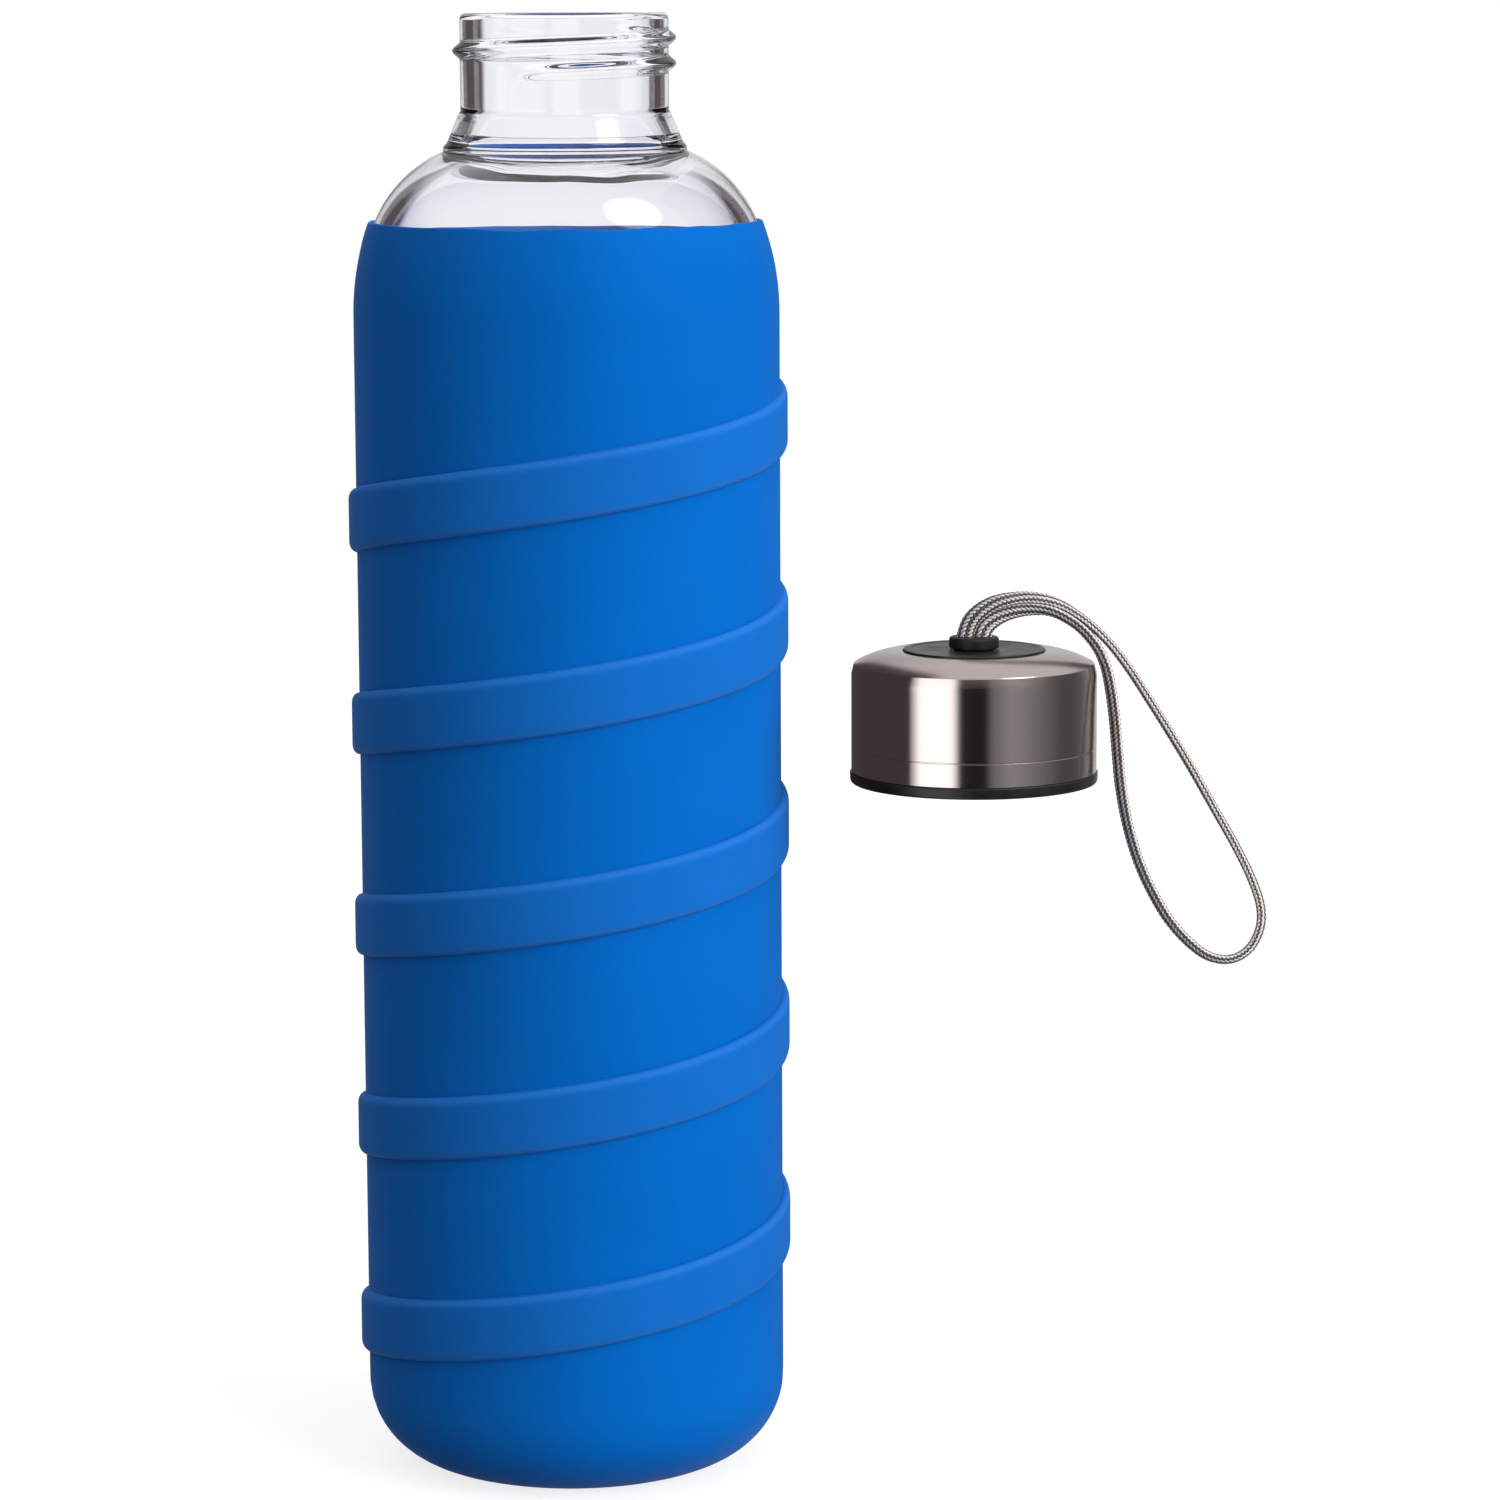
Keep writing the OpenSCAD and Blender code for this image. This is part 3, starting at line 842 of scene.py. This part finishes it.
def make_sleeve(material):
    wall_low, wall_high = FOOT_R - FOOT_SPIRAL, BEND_Z
    foot_x = SLEEVE_R - FOOT_R
    low_a = -math.degrees(math.asin((FOOT_R - wall_low) / FOOT_R))
    bend_a = math.degrees(math.asin((LIP_Z - LIP_ROUND - BEND_Z) / BEND_R))
    inner_r = SHOULDER_R + SLEEVE_GAP
    inner_a = math.degrees(math.asin((LIP_Z - LIP_ROUND - SHOULDER_Z) / inner_r))
    inner_foot_r = FOOT_R - SLEEVE_FLOOR
    top_outside = arc(SLEEVE_R - BEND_R, BEND_Z, BEND_R, 0, bend_a, 16)
    inside = arc(SHOULDER_X, SHOULDER_Z, inner_r, inner_a, 0, 12)
    lip_out, lip_in = top_outside[-1][0], inside[0][0]
    lip_mid = (lip_out + lip_in) / 2
    top = top_outside + [
        (lip_out - 0.1, LIP_Z - 0.15), (lip_mid + 0.12, LIP_Z - 0.02),
        (lip_mid - 0.12, LIP_Z - 0.02), (lip_in + 0.08, LIP_Z - 0.15),
    ] + inside
    top += between(top[-1], (SLEEVE_R - SLEEVE_FLOOR, FOOT_R), 20)
    top += arc(foot_x, FOOT_R, inner_foot_r, 0, -90, 12)[1:] + [(0, SLEEVE_FLOOR)]
    bottom = [(0, 0)] + arc(foot_x, FOOT_R, FOOT_R, -90, low_a, 12)

    def shape(r, z, degrees):
        lift = ease((z - LIP_Z + LIP_WAVY) / LIP_WAVY)
        return r + lift * wobble(degrees, z, 1.4, 0.25), z - lift * abs(wobble(degrees, 0, 2.2, 0.5))

    verts, faces = make_spiral_wall(wall_low, wall_high)
    for outline in (top, bottom):
        more_verts, more_faces = lathe(outline, shape=shape)
        count = len(verts)
        verts += more_verts
        faces += [tuple(i + count for i in face) for face in more_faces]
    piece = add_piece("sleeve_silicone", verts, faces, material, sharp=28)
    piece.visible_glossy = False
    return piece


# ---------------------------------------------------------------- the cap

def make_shell(material):
    dome_base = DOME_Z - DOME_R
    edge_a = math.degrees(math.acos((BEVEL_R - DISC_R) / DOME_R))
    edge_z = dome_base + DOME_R * math.sin(math.radians(edge_a))
    recess_r = DISC_R + DISC_GAP
    inner = DOME_R - SHELL_WALL
    seam_r = SHELL_R - SEAM_DEPTH
    outline = [
        (SHELL_R - SHELL_EDGE, FLANGE_H), (SHELL_R, FLANGE_H + SHELL_EDGE), (SHELL_R, SEAM_Z - SEAM_HALF),
        (seam_r, SEAM_Z - SEAM_FLAT), (seam_r, SEAM_Z + SEAM_FLAT), (SHELL_R, SEAM_Z + SEAM_HALF),
    ]
    outline += between(outline[-1], (SHELL_R, BEVEL_Z - 0.1), 10)
    outline += [(SHELL_R - 0.03, BEVEL_Z + 0.1), (BEVEL_R + 0.06, edge_z - SHELL_EDGE)]
    outline += arc(DISC_R, dome_base, DOME_R, edge_a + 0.3, 89, 20)
    outline += [(recess_r, DOME_Z - 0.03), (recess_r, DISC_Z)]
    outline += [(HOLE_R, DISC_Z), (HOLE_R, DISC_Z - SHELL_WALL)]
    outline += [(recess_r + SHELL_WALL, DISC_Z - SHELL_WALL)]
    outline += arc(DISC_R, dome_base, inner, 86, edge_a + 1, 16)
    outline += [(SHELL_R - SHELL_WALL, BEVEL_Z), (SHELL_R - SHELL_WALL, FLANGE_H)]
    verts, faces = lathe(outline)
    return add_piece("cap_steel", verts, faces, material, CAP_AXIS, sharp=14)


def make_liner(material):
    gasket_top = GASKET_Z + GASKET_H
    plate_top = gasket_top + LINER_PLATE
    flange = rounded([
        (LINER_BORE_R + 0.05, 0, 0.3), (FLANGE_R - 0.1, 0, 0.55), (FLANGE_R, FLANGE_H, 0.25),
        (LINER_WALL_R, FLANGE_H), (LINER_WALL_R, BEVEL_Z - 0.4), (LINER_WALL_R - 0.6, LINER_TOP_Z),
        (LINER_TOP_R, LINER_TOP_Z), (LINER_TOP_R, plate_top),
    ])
    wall_top = (LINER_BORE_R, gasket_top)
    bore = between(wall_top, (LINER_BORE_R, 1), 90)
    outline = [(0, gasket_top), wall_top] + bore + flange + [(0, plate_top)]

    def shape(r, z, degrees):
        if abs(r - LINER_BORE_R) < 0.01:
            r -= thread_height(
                degrees, z, LINER_THREAD_Z, LINER_THREAD_START, LINER_THREAD_END,
                LINER_THREAD_HALF, LINER_THREAD_DEPTH,
            )
        return r, z

    verts, faces = lathe(outline, shape=shape)
    return add_piece("cap_liner_black", verts, faces, material, CAP_AXIS)


def make_gasket(material):
    top = GASKET_Z + GASKET_H
    outline = rounded([
        (GASKET_IN_R, GASKET_Z, 0.4), (GASKET_OUT_R, GASKET_Z, 0.4),
        (GASKET_OUT_R, top, 0.2), (GASKET_IN_R, top, 0.2),
    ])
    verts, faces = lathe(outline, 128)
    return add_piece("cap_gasket_ring", verts, faces, material, CAP_AXIS)


def make_disc(material):
    top = DISC_Z + DISC_H
    outline = rounded([
        (HOLE_R, DISC_Z), (DISC_R, DISC_Z), (DISC_R, top, 0.18), (DISC_R - 0.9, top - 0.02, 0.1),
        (DISC_R - 1.1, top - DISC_STEP, 0.1), (HOLE_R, top - DISC_STEP, 0.1),
    ])
    verts, faces = lathe(outline)
    return add_piece("cap_disc_black", verts, faces, material, CAP_AXIS)


def make_grommet(material):
    """The boss that both ends of the cord go into, with one long slot right through it."""
    top = BOSS_Z + BOSS_H
    outline = rounded([
        (0, STEM_Z), (STEM_R, STEM_Z, 0.2), (STEM_R, BOSS_Z),
        (BOSS_R, BOSS_Z, 0.15), (BOSS_R, top, 0.5), (0, top),
    ])
    verts, faces = lathe(outline, 96)
    piece = add_piece("cord_grommet_black", verts, faces, material, CAP_AXIS)
    slot_r = CORD_T / 2 + CORD_GAP
    slot_end = SLOT_X + CORD_W / 2 + CORD_GAP - slot_r
    ring = arc(slot_end, 0, slot_r, -90, 90, 12) + arc(-slot_end, 0, slot_r, 90, 270, 12)
    count = len(ring)
    low = [(x * MM, y * MM, (STEM_Z - 1) * MM) for x, y in ring]
    high = [(x * MM, y * MM, (top + 1) * MM) for x, y in ring]
    sides = [(i, (i + 1) % count, count + (i + 1) % count, count + i) for i in range(count)]
    ends = [tuple(range(count)), tuple(range(2 * count - 1, count - 1, -1))]
    cut(piece, add_piece("slot_cutter", low + high, sides + ends, material, CAP_AXIS))
    return piece


# ---------------------------------------------------------------- the cord

def route_point(i, t):
    """A point between route points i and i + 1, on a curve that passes through them all."""
    last = len(CORD_ROUTE) - 1
    a, b, c, d = (Vector(CORD_ROUTE[min(max(n, 0), last)]) for n in (i - 1, i, i + 1, i + 2))
    bend, twist = 2 * a - 5 * b + 4 * c - d, 3 * b - a - 3 * c + d
    return (2 * b + (c - a) * t + bend * t ** 2 + twist * t ** 3) / 2


class CordLine:
    """The cord's centreline: points about step apart, and at each one the direction ahead, across
    the flat side and out of it."""

    def __init__(self, step):
        fine = 24
        raw = [route_point(i, k / fine) for i in range(len(CORD_ROUTE) - 1) for k in range(fine)]
        raw.append(Vector(CORD_ROUTE[-1]))
        along = [0]
        for p, q in zip(raw, raw[1:]):
            along.append(along[-1] + (q.to_3d() - p.to_3d()).length)
        self.length = along[-1]
        count = round(self.length / step)
        self.step = self.length / count
        self.points, i = [], 0
        for n in range(count + 1):
            s = min(n * self.step, self.length)
            while i < len(along) - 2 and along[i + 1] < s:
                i += 1
            t = (s - along[i]) / max(along[i + 1] - along[i], 1e-9)
            self.points.append(raw[i].lerp(raw[i + 1], t))
        self.sides = []
        for n in range(count + 1):
            ahead = (self.points[min(n + 1, count)] - self.points[max(n - 1, 0)]).to_3d().normalized()
            flat = (Vector((0, 1, 0)) - ahead * ahead.y).normalized()
            up = ahead.cross(flat)
            roll = math.radians(self.points[n][3])
            wide = flat * math.cos(roll) + up * math.sin(roll)
            self.sides.append((ahead, wide, up * math.cos(roll) - flat * math.sin(roll)))

    def count(self):
        return len(self.points)


def tube(rings):
    """Faces over rings of equal size, with both ends closed. rings are lists of points."""
    n, last = len(rings[0]), len(rings) - 1
    verts = [p for ring in rings for p in ring]
    faces = [
        (i * n + k, i * n + (k + 1) % n, (i + 1) * n + (k + 1) % n, (i + 1) * n + k)
        for i in range(last) for k in range(n)
    ]
    faces += [tuple(range(n - 1, -1, -1)), tuple(last * n + k for k in range(n))]
    return verts, faces


def make_cord(silver, dark):
    """A flat braid of 24 yarns, twelve each way, that weave over and under each other round a core."""
    line = CordLine(CORD_STEP)
    half_w = CORD_W / 2 - YARN_T - YARN_CLEAR
    half_t = CORD_T / 2 - YARN_T - YARN_CLEAR
    verts, faces = [], []

    def add(rings):
        more_verts, more_faces = tube(rings)
        count = len(verts)
        verts.extend(more_verts)
        faces.extend(tuple(i + count for i in face) for face in more_faces)

    def skin_point(n, turn, lift):
        """A point on the braid's oval at an angle round it, and the outward direction there."""
        _, wide, thick = line.sides[n]
        out = (wide * math.cos(turn) / half_w + thick * math.sin(turn) / half_t).normalized()
        place = line.points[n].to_3d() + wide * half_w * math.cos(turn) + thick * half_t * math.sin(turn)
        return place + out * lift, out

    for way in (1, -1):
        if way == -1:
            dark_from = len(faces)
        for k in range(YARNS_EACH_WAY):
            rings = []
            for n in range(line.count()):
                spin = 2 * math.pi * n * line.step / YARN_LAY
                turn = way * spin + 2 * math.pi * k / YARNS_EACH_WAY
                phase = math.pi / 2 * (2 * k + way * YARNS_EACH_WAY * spin / math.pi - 0.5)
                centre, out = skin_point(n, turn, way * YARN_RIPPLE * math.cos(phase))
                ahead, wide, thick = line.sides[n]
                around = -wide * math.sin(turn) * half_w + thick * math.cos(turn) * half_t
                along = (ahead * YARN_LAY + way * around * 2 * math.pi).normalized()
                side = along.cross(out).normalized()
                rings.append([
                    tuple((centre + side * YARN_W * math.cos(a) + out * YARN_T * math.sin(a)) * MM)
                    for a in (math.radians(degrees) for degrees in YARN_CORNERS)
                ])
            add(rings)
    core = []
    for n in range(0, line.count(), 3):
        _, wide, thick = line.sides[n]
        middle = line.points[n].to_3d()
        wide, thick = wide * half_w * CORE_W, thick * half_t * CORE_T
        core.append([
            tuple((middle + wide * math.cos(a) + thick * math.sin(a)) * MM)
            for a in (math.pi * j / 6 for j in range(12))
        ])
    add(core)
    mesh = bpy.data.meshes.new("strap_braid")
    mesh.from_pydata(verts, [], faces)
    mesh.shade_smooth()
    mesh.materials.append(silver)
    mesh.materials.append(dark)
    for polygon in mesh.polygons:
        polygon.material_index = 1 if polygon.index >= dark_from else 0
    piece = bpy.data.objects.new("strap_braid", mesh)
    piece.location = CAP_AXIS
    scene.collection.objects.link(piece)
    join_frame(piece, "strap", "cord", "strap_cord")


# ---------------------------------------------------------------- build

add_camera()
make_cord(
    yarn_material("silver_yarn", (0.55, 0.51, 0.49), (0.93, 0.89, 0.86), 0.4, 0.3),
    yarn_material("dark_yarn", (0.03, 0.024, 0.023), (0.14, 0.115, 0.11), 0.55, 0.15),
)
add_floor()
add_cap_card()
add_world()
add_key_light()

black_plastic = black_material("black_plastic", 0.34, 2400)
black_rubber = black_material("black_rubber", 0.5, 3000)
join_frame(make_glass(glass_material()), "bottle", "glass", "glass_bottle")
join_frame(make_sleeve(silicone_material()), "bottle", "silicone", "silicone_sleeve")
join_frame(make_shell(steel_material()), "cap", "steel", "cap_shell")
join_frame(make_liner(black_plastic), "cap", "black_plastic", "cap_liner")
join_frame(make_gasket(gasket_material()), "cap", "gasket_silicone", "cap_gasket")
join_frame(make_disc(black_plastic), "cap", "black_plastic", "cap_disc")
join_frame(make_grommet(black_rubber), "strap", "black_rubber", "cord_grommet")
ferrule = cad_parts["cord_ferrule"]
ferrule.data.materials.clear()
ferrule.data.materials.append(crimp_material())
